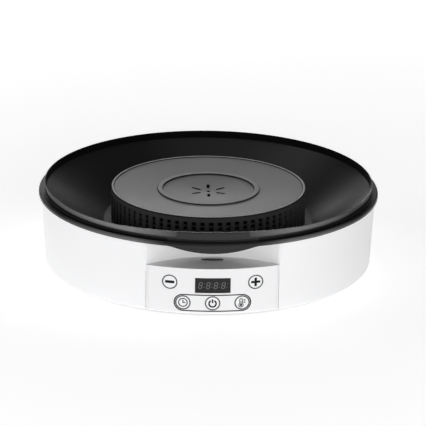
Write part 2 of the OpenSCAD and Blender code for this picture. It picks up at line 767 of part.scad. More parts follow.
module hub_cap() color([0.35, 0.35, 0.36]) difference() {
    union() {
        rotate_extrude() polygon(cap_profile());
        for (a = post_angles) rotate(a) translate([post_ring_r, 0, floor_z])
            cylinder(r = post_r, h = cap_z(post_ring_r - post_r) - cap_t / 2 - floor_z);
        for (a = shield_angles) rotate(a) translate([shield_post_r, 0, shield_z + shield_t])
            cylinder(r = post_r, h = cap_z(shield_post_r - post_r) - cap_t / 2 - shield_z - shield_t);
    }
    for (a = post_angles) rotate(a) translate([post_ring_r, 0, floor_z - 1]) cylinder(r = screw_hole_r, h = 14);
    for (a = shield_angles) rotate(a) translate([shield_post_r, 0, shield_z])
        cylinder(r = screw_hole_r, h = shield_t + short_bite + 1);
    for (i = [0 : 5]) rotate(30 + 60 * i) translate([0, 0, cap_under - cap_dip - 1]) linear_extrude(cap_t + cap_dip + 2) union() {
        for (r = [vent_r0, vent_r1]) translate([r, 0]) circle(vent_w / 2, $fn = 24);
        translate([vent_r0, -vent_w / 2]) square([vent_r1 - vent_r0, vent_w]);
    }
    translate([0, 0, cap_under - cap_dip - 1]) cylinder(d = vent_w + 0.4, h = cap_t + 2);
}

// Dished disc with a bead round its edge, a raised ring in the middle and a spigot inside the skirt
function cap_profile() = concat(
    [[0, cap_z(0)], [ring_r - ring_w / 2 - 0.2, cap_z(ring_r - ring_w / 2)]],
    arc([ring_r - ring_w / 2 + 0.5, cap_z(ring_r) + ring_h - 0.5], 0.5, 180, 90, 3),
    arc([ring_r + ring_w / 2 - 0.5, cap_z(ring_r) + ring_h - 0.5], 0.5, 90, 0, 3),
    [[ring_r + ring_w / 2 + 0.2, cap_z(ring_r + ring_w / 2)],
    [hub_r + 0.1 - bead_r * (1 + cos(bead_a)), cap_z(hub_r + 0.1 - bead_r * (1 + cos(bead_a)))]],
    arc([hub_r + 0.1 - bead_r, cap_top + bead_h - bead_r], bead_r, 170 - bead_a, 0, 8),
    [[hub_r + 0.1, skirt_top], [hub_r - skirt_wall - 0.2, skirt_top],
    [hub_r - skirt_wall - 0.2, skirt_top - spigot_h], [hub_r - skirt_wall - 2, skirt_top - spigot_h],
    [hub_r - skirt_wall - 2, cap_under], [0, cap_under - cap_dip]]);

module hub_screws() color("silver")
    for (a = post_angles) rotate(a) translate([post_ring_r, 0, 0])
        screw_up(tray_z0, tray_t + dish_wall + plastic_bite);

module cap_shield() color([0.7, 0.7, 0.72]) difference() {
    rotate_extrude() polygon([[0, shield_z], [shield_r, shield_z], [shield_r, shield_z - 1.8],
        [shield_r + shield_t, shield_z - 1.8], [shield_r + shield_t, shield_z + shield_t], [0, shield_z + shield_t]]);
    for (a = shield_angles) rotate(a) translate([shield_post_r, 0, shield_z - 1])
        cylinder(r = clear_hole_r, h = shield_t + 2);
}

module shield_screws() color("silver")
    for (a = shield_angles) rotate(a) translate([shield_post_r, 0, 0]) screw_up(shield_z, shield_t + short_bite);

// ---- heater and fan ----

module heater_tray() color([0.75, 0.75, 0.77]) difference() {
    translate([0, 0, tray_z0]) cylinder(r = tray_r, h = tray_t);
    translate([0, 0, tray_z0 - 1]) cylinder(r = inlet_r, h = tray_t + 2);
    for (a = post_angles) rotate(a) translate([post_ring_r, 0, tray_z0 - 1])
        cylinder(r = clear_hole_r, h = tray_t + 2);
    for (s = [-1, 1]) translate([0, s * (bracket_half - 6), tray_z0 - 1]) cylinder(r = screw_hole_r, h = tray_t + 2);
}

module heater_supports() color([0.72, 0.66, 0.5]) for (a = support_angles) rotate(a) {
    difference() {
        translate([support_r0, -support_t / 2, floor_under])
            cube([support_r1 - support_r0, support_t, support_h]);
        for (i = [0 : coil_count - 1]) translate([coil_ring_r, 0, coil_z0 + i * coil_pitch]) rotate([90, 0, 0])
            cylinder(r = coil_r + 0.25, h = 4, center = true);
    }
    translate([support_r0, -support_t / 2 - 4, floor_under]) cube([support_r1 - support_r0, 4, support_t]);
}

module heater_coils() color([0.6, 0.55, 0.5])
    for (i = [0 : coil_count - 1]) translate([0, 0, coil_z0 + i * coil_pitch])
        rotate_extrude() translate([coil_ring_r, 0]) circle(coil_r, $fn = 32);

// Disc with curved blades below it
module fan_impeller() color([0.75, 0.75, 0.77]) difference() {
    union() {
        translate([0, 0, fan_z1]) cylinder(r = fan_r + 0.5, h = fan_disc_t);
        translate([0, 0, fan_z0 + 3]) cylinder(r = fan_hub_r, h = fan_hub_z1 - fan_z0 - 3);
        translate([0, 0, fan_z0]) linear_extrude(blade_h + 0.1) for (i = [0 : blade_count - 1])
            rotate(360 * i / blade_count) blade_plan();
    }
    translate([0, 0, fan_z0 - 1]) cylinder(r = shaft_r + run_gap / 2, h = big);
}

// One backward-curved blade: an arc between the blades' inner and outer radius
module blade_plan() {
    intersection() {
        difference() {
            translate([blade_r0 / 2, blade_curve_r]) circle(blade_curve_r + blade_t / 2);
            translate([blade_r0 / 2, blade_curve_r]) circle(blade_curve_r - blade_t / 2);
        }
        difference() {
            circle(fan_r);
            circle(blade_r0);
        }
        translate([0, -fan_r / 4]) square(fan_r);
    }
}

module fan_clip() color([0.4, 0.4, 0.42]) difference() {
    translate([0, 0, fan_hub_z1]) cylinder(r = shaft_r + 2.6, h = 1.2);
    translate([0, 0, fan_hub_z1 - 1]) cylinder(r = shaft_r + run_gap / 2, h = 4);
}

// ---- motor ----

module motor_bracket() color([0.75, 0.75, 0.77]) difference() {
    translate([-bracket_w / 2, -bracket_half, bracket_z0]) cube([bracket_w, 2 * bracket_half, bracket_t]);
    translate([0, 0, bracket_z0 - 1]) cylinder(r = cup_r + 0.4, h = bracket_t + 2);
    for (s = [-1, 1]) {
        translate([0, s * (bracket_half - 6), bracket_z0 - 1]) cylinder(r = clear_hole_r, h = bracket_t + 2);
        translate([0, s * bolt_y, bracket_z0 - 1]) cylinder(r = clear_hole_r, h = bracket_t + 2);
    }
}

module bracket_screws() color("silver")
    for (s = [-1, 1]) translate([0, s * (bracket_half - 6), 0]) screw_up(bracket_z0, bracket_t + tray_t + bracket_bite);

module motor_stator() color([0.45, 0.45, 0.47]) difference() {
    translate([stack_x0, -stack_y, stack_z0]) cube([stack_x1 - stack_x0, 2 * stack_y, stack_t]);
    translate([window_x0, -window_y, stack_z0 - 1]) cube([window_x1 - window_x0, 2 * window_y, stack_t + 2]);
    translate([0, 0, stack_z0 - 1]) cylinder(r = rotor_r + air_gap, h = stack_t + 2);
    for (s = [-1, 1]) translate([0, s * bolt_y, stack_z0 - 1]) cylinder(r = clear_hole_r, h = stack_t + 2);
}

// Bobbin round the stator's outer leg
module coil_bobbin() color("ivory") difference() {
    union() {
        translate([window_x1 - 1.2, -window_y + 0.4, stack_z0 - 1.2])
            cube([stack_x1 - window_x1 + 2.4, 2 * window_y - 0.8, stack_t + 2.4]);
        for (s = [-1, 1]) translate([window_x1 - 7, s * (window_y - 1) - 0.6, stack_z0 - 6])
            cube([stack_x1 - window_x1 + 14, 1.2, stack_t + 12]);
    }
    translate([window_x1 - 0.2, -window_y - 5, stack_z0 - 0.2])
        cube([stack_x1 - window_x1 + 0.4, 2 * window_y + 10, stack_t + 0.4]);
}

module motor_coil() color([0.7, 0.35, 0.15]) difference() {
    translate([window_x1 - 6, -window_y + 1.8, stack_z0 - 5])
        cube([stack_x1 - window_x1 + 12, 2 * window_y - 3.6, stack_t + 10]);
    translate([window_x1 - 1.3, -window_y - 5, stack_z0 - 1.3])
        cube([stack_x1 - window_x1 + 2.6, 2 * window_y + 10, stack_t + 2.6]);
}

// Bearing frame with its cup pointing up from z, for the top of the motor
module motor_frame(z) {
    difference() {
        union() {
            translate([-frame_w / 2, -stack_y, z]) cube([frame_w, 2 * stack_y, frame_t]);
            translate([0, 0, z]) cylinder(r = cup_r, h = frame_t + cup_h);
        }
        translate([0, 0, z - 1]) cylinder(r = shaft_r + 0.6, h = big);
        translate([0, 0, z + frame_t + cup_h - bearing_h]) cylinder(r = bearing_r + run_gap, h = big);
        for (s = [-1, 1]) translate([0, s * bolt_y, z - 1]) cylinder(r = clear_hole_r, h = frame_t + 2);
    }
}
module motor_frame_top() color([0.6, 0.6, 0.62]) motor_frame(stack_z1);
module motor_frame_bottom() color([0.6, 0.6, 0.62])
    translate([0, 0, stack_z0]) mirror([0, 0, 1]) motor_frame(0);

module motor_bearings() color([0.7, 0.55, 0.3]) {
    for (z = [stack_z1 + frame_t + cup_h - bearing_h, stack_z0 - frame_t - cup_h]) difference() {
        translate([0, 0, z]) cylinder(r = bearing_r, h = bearing_h);
        translate([0, 0, z - 1]) cylinder(r = shaft_r + run_gap, h = bearing_h + 2);
    }
}

// Long bolts from the bottom frame to the bracket, with a spacer tube and a nut each
module motor_bolts() color("silver") for (s = [-1, 1]) translate([0, s * bolt_y, 0]) {
    z = stack_z0 - frame_t;
    spacer_z = stack_z1 + frame_t;
    screw_up(z, tray_z0 - z + short_bite);
    difference() {
        translate([0, 0, spacer_z]) cylinder(r = head_r, h = bracket_z0 - spacer_z);
        translate([0, 0, spacer_z - 1]) cylinder(r = screw_hole_r, h = bracket_z0 - spacer_z + 2);
    }
    difference() {
        translate([0, 0, tray_z0]) cylinder(r = head_r + 0.2, h = 2.4, $fn = 6);
        translate([0, 0, tray_z0 - 1]) cylinder(r = screw_hole_r, h = 5);
    }
}

module motor_rotor() color([0.5, 0.5, 0.52]) difference() {
    translate([0, 0, stack_z0 + 0.5]) cylinder(r = rotor_r, h = stack_t - 1);
    translate([0, 0, stack_z0 - 1]) cylinder(r = shaft_r + run_gap / 2, h = stack_t + 2);
}

module motor_shaft() color([0.8, 0.8, 0.82])
    translate([0, 0, shaft_z0]) cylinder(r = shaft_r, h = fan_hub_z1 + shaft_end - shaft_z0);

// ---- small electric parts ----

module thermostat() color([0.2, 0.2, 0.2]) rotate(20) translate([tray_r - 17, 0, 0]) {
    translate([0, 0, tray_z0 - 7]) cylinder(r = 7, h = 6);
    translate([-6, -11, tray_z0 - 1]) cube([12, 22, 1]);
    for (s = [-1, 1]) translate([-3, s * 3.5 - 0.4, tray_z0 - 14]) cube([6, 0.8, 7.5]);
}

module thermal_fuse() color([0.85, 0.8, 0.7]) rotate(160) translate([tray_r - 17, 0, tray_z0 - 2.4]) {
    rotate([90, 0, 0]) cylinder(r = 2, h = 12, center = true);
    for (s = [-1, 1]) translate([-2.4, s * 4 - 1, 0]) cube([4.8, 2, 2.4]);
}

module temp_sensor() color([0.9, 0.9, 0.85]) rotate(200) translate([tray_r - 15, 0, 0]) {
    translate([0, 0, tray_z0 - 1]) cylinder(r = 4.5, h = 1);
    translate([0, 0, tray_z0 - 6]) cylinder(r = 2, h = 5.2);
}

module power_board() color("darkgreen") difference() {
    translate([power_x - power_w / 2, power_y - power_d / 2, power_z]) cube([power_w, power_d, board_t]);
    for (p = power_posts) translate([p[0], p[1], power_z - 1]) cylinder(r = clear_hole_r, h = board_t + 2);
}

module power_relay() color([0.1, 0.2, 0.5])
    translate([power_x - 16, power_y + power_d / 2 - relay_d - 4.5, power_top]) cube([relay_w, relay_d, relay_d]);

module transformer() color([0.15, 0.15, 0.15])
    translate([power_x - 17, power_y - power_d / 2 + 3, power_top]) {
        cube([core_w, core_d, 5]);
        translate([core_w * 0.18, 0, 5]) cube([core_w * 0.64, core_d, core_h - 5]);
        translate([0, core_d / 6, 5]) cube([core_w, core_d * 2 / 3, core_h - 8]);
    }

module capacitor() color([0.1, 0.1, 0.3])
    translate([power_x + power_w / 2 - 12, power_y + power_d / 2 - 13, power_top]) cylinder(r = can_r, h = can_h);

module terminal_block() color([0.2, 0.5, 0.3]) difference() {
    translate([power_x - power_w / 2 + 1.5, power_y - 11, power_top]) cube([9, 22, 11]);
    for (i = [-1 : 1]) translate([power_x - power_w / 2 + 5, power_y + i * 7, power_top + 4])
        cylinder(r = 1.8, h = 10);
}

module power_board_screws() color("silver") for (p = power_posts) translate([p[0], p[1], power_top]) {
    cylinder(r = head_r, h = head_h);
    translate([0, 0, -5.5]) cylinder(r = screw_r, h = 5.6);
}

// ---- base ----

module base_plate() color([0.12, 0.12, 0.12]) difference() {
    union() {
        translate([0, 0, foot_h]) cylinder(r = plate_r, h = plate_t);
        for (p = power_posts) translate([p[0], p[1], plate_top - 0.5])
            cylinder(r = boss_r - 0.5, h = power_z - plate_top + 0.5);
        rotate_extrude() translate([grille_r + 6, plate_top - 0.5]) square([2, 4.5]);
        for (i = [0 : 11]) rotate(30 * i) translate([grille_r + 7, -1, plate_top - 0.5])
            cube([bottom_flange_r - grille_r - 12, 2, 3.5]);
    }
    for (a = base_screw_angles) rotate(a) translate([base_screw_r, 0, foot_h - 1]) {
        cylinder(r = clear_hole_r, h = plate_t + 2);
        cylinder(r = head_r + 0.3, h = 1.8);
    }
    for (a = foot_angles) rotate(a) translate([foot_ring_r, 0, foot_h - 1])
        cylinder(r = foot_stem_r + 0.1, h = plate_t + 9);
    for (p = power_posts) translate([p[0], p[1], plate_top + 0.5]) cylinder(r = screw_hole_r, h = 9);
    for (i = [0 : 23]) rotate(15 * i) translate([grille_r - 28, -1.5, foot_h - 1]) cube([28, 3, plate_t + 9]);
    for (i = [0 : 11]) rotate(30 * i) translate([14, -1.5, foot_h - 1]) cube([12, 3, plate_t + 9]);
}

module base_screws() color("silver") for (a = base_screw_angles)
    rotate(a) translate([base_screw_r, 0, 0]) screw_up(foot_h + 0.8, plate_t + plastic_bite);

module rubber_feet() color([0.1, 0.1, 0.1]) for (a = foot_angles) rotate(a) translate([foot_ring_r, 0, 0])
    rotate_extrude($fn = 64) polygon([[0, 0], [foot_r - 1, 0], [foot_r, 1], [foot_r, foot_h], [foot_stem_r, foot_h],
        [foot_stem_r, plate_top + 0.2], [foot_stem_r + 0.8, plate_top + 0.2], [foot_stem_r - 0.6, plate_top + 2.4],
        [0, plate_top + 2.4]]);

// Rubber bushing in the rear wall, with its bore along Y
module cord_bushing() color([0.1, 0.1, 0.1]) {
    out_y = wall_r(bushing_z + bushing_neck_r + 3) + 0.2;
    in_y = sqrt(pow(wall_r(bushing_z - bushing_neck_r - 3), 2) - pow(bushing_neck_r + 2, 2)) - casing_wall - 0.3;
    translate([0, 0, bushing_z]) rotate([-90, 0, 0]) rotate_extrude($fn = 64) polygon([[cord_r, in_y - 2],
        [bushing_neck_r + 2, in_y - 2], [bushing_neck_r + 2, in_y], [bushing_neck_r, in_y], [bushing_neck_r, out_y],
        [bushing_neck_r + 2.4, out_y], [bushing_neck_r + 1.6, out_y + 2], [cord_r, out_y + 2]]);
}

outer_casing();
control_panel();
ledge_trim();
display_window();
display_module();
control_board();
board_screws();
panel_screws();
tactile_switches();
button_minus();
button_plus();
button_timer();
button_power();
button_temp();
plunger_minus();
plunger_plus();
plunger_timer();
plunger_power();
plunger_temp();
dish();
dish_screws();
hub_skirt();
hub_cap();
hub_screws();
cap_shield();
shield_screws();
heater_tray();
heater_supports();
heater_coils();
motor_bracket();
bracket_screws();
motor_stator();
coil_bobbin();
motor_coil();
motor_frame_top();
motor_frame_bottom();
motor_bearings();
motor_bolts();
motor_rotor();
motor_shaft();
fan_impeller();
fan_clip();
thermostat();
thermal_fuse();
temp_sensor();
power_board();
power_relay();
transformer();
capacitor();
terminal_block();
power_board_screws();
base_plate();
base_screws();
rubber_feet();
cord_bushing();
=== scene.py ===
import bpy
import bmesh
import json
from math import asin, cos, pi, radians, sin, sqrt, tan
from mathutils import Matrix, Vector


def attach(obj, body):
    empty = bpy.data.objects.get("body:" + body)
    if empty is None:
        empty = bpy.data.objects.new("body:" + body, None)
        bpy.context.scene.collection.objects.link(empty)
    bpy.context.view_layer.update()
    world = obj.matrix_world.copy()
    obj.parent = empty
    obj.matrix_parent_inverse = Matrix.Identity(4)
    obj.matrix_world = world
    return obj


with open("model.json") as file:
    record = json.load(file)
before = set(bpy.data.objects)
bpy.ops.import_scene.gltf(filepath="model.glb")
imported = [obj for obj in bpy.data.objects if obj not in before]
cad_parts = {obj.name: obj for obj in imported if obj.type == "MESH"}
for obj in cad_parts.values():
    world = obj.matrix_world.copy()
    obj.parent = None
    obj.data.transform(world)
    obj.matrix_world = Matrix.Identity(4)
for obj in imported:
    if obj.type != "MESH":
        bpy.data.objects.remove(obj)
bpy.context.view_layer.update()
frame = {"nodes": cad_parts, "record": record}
nodes = frame["nodes"]
mm = 0.001
print("frame loaded:", len(nodes), "nodes")

# The casing leans in towards its foot, and the panel, the keys and their printing follow it
casing = {"topRadius": 167.4, "draft": 3.6, "topHeight": 74.6, "footHeight": 3.0}


def wallRadius(z):
    span = casing["topHeight"] - casing["footHeight"]
    return casing["topRadius"] - casing["draft"] * (casing["topHeight"] - z) / span


def onWall(x, z, depth=0.0):
    # the point of the casing's face in front of (x, z), sunk by depth
    return Vector((x, -sqrt((wallRadius(z) - depth) ** 2 - x * x), z)) * mm


class Wire:
    # a socket that takes part in plain arithmetic
    def __init__(self, finish, socket):
        self.finish, self.socket = finish, socket

    def maths(self, operation, first, second):
        return self.finish.node("ShaderNodeMath", {"operation": operation}, {0: first, 1: second})

    def __add__(self, other):
        return self.maths("ADD", self, other)

    def __radd__(self, other):
        return self.maths("ADD", other, self)

    def __sub__(self, other):
        return self.maths("SUBTRACT", self, other)

    def __rsub__(self, other):
        return self.maths("SUBTRACT", other, self)

    def __mul__(self, other):
        return self.maths("MULTIPLY", self, other)

    def __rmul__(self, other):
        return self.maths("MULTIPLY", other, self)

    def root(self):
        return self.maths("SQRT", self, 0.0)

    def __gt__(self, other):
        return self.maths("GREATER_THAN", self, other)

    def __lt__(self, other):
        return self.maths("LESS_THAN", self, other)


class Finish:
    # one material: uniform values go straight to the shader's sockets, the rest comes as wires
    def __init__(self, name, **uniform):
        self.material = bpy.data.materials.new(name)
        self.material.use_nodes = True
        self.tree = self.material.node_tree
        self.shader = self.tree.nodes["Principled BSDF"]
        for socket, value in uniform.items():
            self.shader.inputs[socket.replace("_", " ")].default_value = value

    def feed(self, socket, value):
        if isinstance(value, Wire):
            self.tree.links.new(value.socket, socket)
        else:
            socket.default_value = value

    def node(self, kind, settings=None, sockets=None, out=0):
        made = self.tree.nodes.new(kind)
        for key, value in (settings or {}).items():
            if key == "stops":
                stops = made.color_ramp.elements
                while len(stops) < len(value):
                    stops.new(1.0)
                for element, (place, colour) in zip(stops, value):
                    element.position, element.color = place, colour
            else:
                setattr(made, key, value)
        for key, value in (sockets or {}).items():
            self.feed(made.inputs[key], value)
        return Wire(self, made.outputs[out])

    def place(self):
        return self.node("ShaderNodeTexCoord", out="Object")

    def normal(self):
        return self.node("ShaderNodeNewGeometry", out="Normal")

    def axes(self, vector, *which):
        # the wanted components of a vector: 0 is across, 1 is deep, 2 is height
        return [self.node("ShaderNodeSeparateXYZ", {}, {"Vector": vector()}, out=i) for i in which]

    def noise(self, size, detail=2.0, rough=0.5, stretch=(1, 1, 1)):
        # grain whose spots are about size millimetres across
        where = self.node("ShaderNodeMapping", {}, {"Vector": self.place(), "Scale": stretch})
        return self.node("ShaderNodeTexNoise", {}, {"Vector": where, "Scale": 1 / (size * mm),
                                                    "Detail": detail, "Roughness": rough})

    def blend(self, share, first, second):
        return self.node("ShaderNodeMix", {"data_type": "RGBA"},
                         {"Factor": share, 6: first, 7: second}, out=2)

    def ramp(self, share, stops):
        return self.node("ShaderNodeValToRGB", {"stops": stops}, {0: share})

    def bump(self, height, depth, normal=None):
        sockets = {"Height": height, "Distance": depth * mm, "Strength": 1.0}
        if normal is not None:
            sockets["Normal"] = normal
        return self.node("ShaderNodeBump", {}, sockets)

    def softEdges(self, radius):
        return self.node("ShaderNodeBevel", {"samples": 4}, {"Radius": radius * mm})

    def give(self, **wires):
        for socket, wire in wires.items():
            self.feed(self.shader.inputs[socket.replace("_", " ")], wire)
        return self.material


def grey(value, tint=0.0):
    return (value, value, value * (1 + tint), 1)


cap = {"rimFoot": (93.9, 94.9), "rim": 94.9, "ring": 48.5, "ringTop": 2.4, "ringFoot": 3.4, "vents": 19.5,
       "sheenTones": (0.155, 0.21), "crestHighlight": 0.5, "ringHighlight": 0.24, "wall": 0.02, "ventShade": 0.001, "flat": 0.8}


def capPlastic():
    # matt dark plastic with a painted sheen on its upward faces; painted highlights on the raised edges,
    # painted shade at their feet and inside the vents
    finish = Finish("cap_grey")
    across, deep = finish.axes(finish.place, 0, 1)
    upward, = finish.axes(finish.normal, 2)
    fromAxis = (across * across + deep * deep).root()
    offRing = ((fromAxis - cap["ring"] * mm) * (fromAxis - cap["ring"] * mm)).root()
    # painted shade at the feet of the ring and of the rim
    footShade = (offRing > cap["ringTop"] * mm) * (offRing < cap["ringFoot"] * mm)
    footShade = footShade + (fromAxis > cap["rimFoot"][0] * mm) * (fromAxis < cap["rimFoot"][1] * mm)
    drift = finish.noise(30, detail=4)
    fine = finish.noise(0.7, detail=3, rough=0.65)
    # painted sheen: the pale tones of the upward faces stand in for light caught from above
    colour = finish.blend(drift * 0.5 + fine * 0.5, grey(cap["sheenTones"][0]), grey(cap["sheenTones"][1]))
    # painted highlight on the top of the ring
    colour = finish.blend(offRing < cap["ringTop"] * mm, colour, grey(cap["ringHighlight"]))
    # painted highlight on the rim's crest
    colour = finish.blend(fromAxis > cap["rim"] * mm, colour, grey(cap["crestHighlight"]))
    colour = finish.blend(footShade, colour, grey(cap["wall"]))
    # upward faces keep the painted sheen, steeper faces take the dark plastic
    colour = finish.blend(upward > cap["flat"], grey(cap["wall"]), colour)
    # painted shade inside the vents
    inVent = (fromAxis < cap["vents"] * mm) * (upward < cap["flat"])
    colour = finish.blend(inVent, colour, grey(cap["ventShade"]))
    gloss = (drift - 0.5) * 0.1 + (fine - 0.5) * 0.1 + 0.42
    relief = finish.bump(fine, 0.03, finish.softEdges(0.2))
    return finish.give(Base_Color=colour, Roughness=gloss, Normal=relief)


# the wall tone is the casing's own white; the recess tone is painted light and the panel tone painted shade
whites = {"halfWidth": 64.0, "ledge": 50.4, "recess": 165.5, "wall": 0.93, "panel": 0.89, "inner": 0.985}


def casingPlastic():
    # glossy white; painted light keeps the recess behind the ledge brighter, and painted shade makes the
    # panel a little greyer
    finish = Finish("casing_white", Coat_Weight=0.15, Coat_Roughness=0.2)
    across, deep, height = finish.axes(finish.place, 0, 1, 2)
    fromAxis = (across * across + deep * deep).root()
    atFront = (across * across < (whites["halfWidth"] * mm) ** 2) * (deep < 0.0)
    onPanel = atFront * (height < whites["ledge"] * mm)
    inRecess = atFront * (height > whites["ledge"] * mm) * (fromAxis < whites["recess"] * mm)
    drift = finish.noise(38, detail=3)
    fine = finish.noise(0.7, detail=3, rough=0.6)
    mottle = drift * 0.7 + fine * 0.3
    wall, panel, inner = (finish.blend(mottle, grey(whites[key] - 0.03, 0.012), grey(whites[key], 0.01))
                          for key in ("wall", "panel", "inner"))
    # painted light in the recess, painted shade on the panel
    colour = finish.blend(inRecess, finish.blend(onPanel, wall, panel), inner)
    gloss = (drift - 0.5) * 0.08 + (fine - 0.5) * 0.08 + 0.33
    relief = finish.bump(fine, 0.006, finish.softEdges(0.3))
    return finish.give(Base_Color=colour, Roughness=gloss, Normal=relief)


dimple = {"rim": 50.42, "halfDark": 10.8, "dark": 0.14, "end": 0.97, "trim": 0.95}


def ledgePlastic():
    # pale trim whose finger dimple is shaded inside and catches light at both ends
    finish = Finish("trim_grey")
    across, height = finish.axes(finish.place, 0, 2)
    inDimple = height < dimple["rim"] * mm
    atEnd = inDimple * (across * across > (dimple["halfDark"] * mm) ** 2)
    drift = finish.noise(38, detail=3)
    fine = finish.noise(0.5, detail=3, rough=0.6)
    colour = finish.blend(drift * 0.7 + fine * 0.3, grey(dimple["trim"] - 0.05), grey(dimple["trim"]))
    colour = finish.blend(inDimple, colour, grey(dimple["dark"]))
    colour = finish.blend(atEnd, colour, grey(dimple["end"]))
    gloss = (drift - 0.5) * 0.1 + (fine - 0.5) * 0.1 + 0.48
    relief = finish.bump(fine, 0.012, finish.softEdges(0.3))
    return finish.give(Base_Color=colour, Roughness=gloss, Normal=relief)


def mouldedPlastic(name, pale, dark, rough, roughSpread, grain, grainDepth, edge=0.3, **uniform):
    # fine moulded grain with a slow drift of colour and gloss
    finish = Finish(name, **uniform)
    drift = finish.noise(38, detail=3)
    fine = finish.noise(grain, detail=3, rough=0.6)
    colour = finish.blend(drift * 0.7 + fine * 0.3, dark, pale)
    gloss = (drift - 0.5) * roughSpread + (fine - 0.5) * roughSpread + rough
    relief = finish.bump(fine, grainDepth, finish.softEdges(edge))
    return finish.give(Base_Color=colour, Roughness=gloss, Normal=relief)


def sheetMetal(name, pale, dark, rough, stretch=(1, 1, 1), **uniform):
    finish = Finish(name, Metallic=1.0, **uniform)
    drift = finish.noise(14, detail=4)
    lines = finish.noise(0.6, detail=3, stretch=stretch)
    colour = finish.blend(drift * 0.6 + lines * 0.4, dark, pale)
    gloss = (lines - 0.5) * 0.16 + (drift - 0.5) * 0.12 + rough
    relief = finish.bump(lines, 0.01, finish.softEdges(0.15))
    return finish.give(Base_Color=colour, Roughness=gloss, Normal=relief)


# the two lists of painted sheen on the lip's outer wall and the flange's edge pair a distance from the middle
# plane, in millimetres, with a tone
lip = {"outerWall": 163.6, "wallFoot": 80.3, "block": 34.9, "edge": 168.2, "edgeTop": 77.3, "foot": 78.0,
       "hub": 98.5, "hubLight": 0.075, "seatHalf": 44, "seat": 160, "seatLight": 0.02, "blacks": (0.003, 0.008),
       "wallSheens": [(-150, 0.05), (-110, 0.17), (-80, 0.21), (-35, 0.06),
                     (35, 0.06), (80, 0.18), (110, 0.13), (140, 0.012)],
       "edgeSheens": [(45, 0.012), (75, 0.13), (110, 0.10), (145, 0.02)], "reach": 200}


def dishPlastic():
    # satin black; a painted sheen makes the lip's outer wall and the flange's edge paler away from the front,
    # and painted light lifts the hub's skirt and the seat below the lip
    finish = Finish("dish_black", Specular_IOR_Level=0.38)
    across, deep, height = finish.axes(finish.place, 0, 1, 2)
    fromAxis = (across * across + deep * deep).root()
    aside = (across * across).root()
    wallSheenStops = [(x / (2 * lip["reach"]) + 0.5, grey(tone)) for x, tone in lip["wallSheens"]]
    edgeSheenStops = [(x / lip["reach"], grey(tone)) for x, tone in lip["edgeSheens"]]
    wallSheen = finish.ramp(across * (0.5 / (lip["reach"] * mm)) + 0.5, wallSheenStops)
    edgeSheen = finish.ramp(aside * (1 / (lip["reach"] * mm)), edgeSheenStops)
    onBlock = (aside < lip["block"] * mm) * (deep < 0.0)
    outside = (fromAxis > lip["outerWall"] * mm) * (height > lip["wallFoot"] * mm) * (1 - onBlock)
    onEdge = (fromAxis > lip["edge"] * mm) * (height < lip["edgeTop"] * mm)
    inside = (fromAxis < lip["outerWall"] * mm) * (height > lip["foot"] * mm) * (fromAxis > lip["hub"] * mm)
    onSeat = (aside < lip["seatHalf"] * mm) * (deep < 0.0) * (fromAxis > lip["seat"] * mm)
    drift = finish.noise(45, detail=4)
    fine = finish.noise(0.9, detail=3, rough=0.65)
    colour = finish.blend(drift * 0.6 + fine * 0.4, grey(lip["blacks"][0]), grey(lip["blacks"][1]))
    # painted light: the hub's skirt is lifted to a paler black
    colour = finish.blend(fromAxis < lip["hub"] * mm, colour, grey(lip["hubLight"]))
    # painted light on the seat below the lip
    colour = finish.blend(onSeat, colour, grey(lip["seatLight"]))
    # painted sheen on the flange's edge and the lip's outer wall
    colour = finish.blend(onEdge, colour, edgeSheen)
    colour = finish.blend(outside, colour, wallSheen)
    gloss = (drift - 0.5) * 0.16 + (fine - 0.5) * 0.12 + 0.34 - inside * 0.2
    relief = finish.bump(fine, 0.025, finish.softEdges(0.4))
    return finish.give(Base_Color=colour, Roughness=gloss, Normal=relief)


def boardGreen():
    finish = Finish("board_green", Coat_Weight=0.3)
    tracks = finish.node("ShaderNodeTexVoronoi", {"distance": "MANHATTAN"},
                         {"Vector": finish.place(), "Scale": 260.0})
    drift = finish.noise(9)
    colour = finish.blend((tracks < 0.32) * 0.5 + drift * 0.3, (0.02, 0.1, 0.04, 1), (0.05, 0.2, 0.08, 1))
    return finish.give(Base_Color=colour, Roughness=drift * 0.2 + 0.3, Normal=finish.bump(tracks, 0.03))


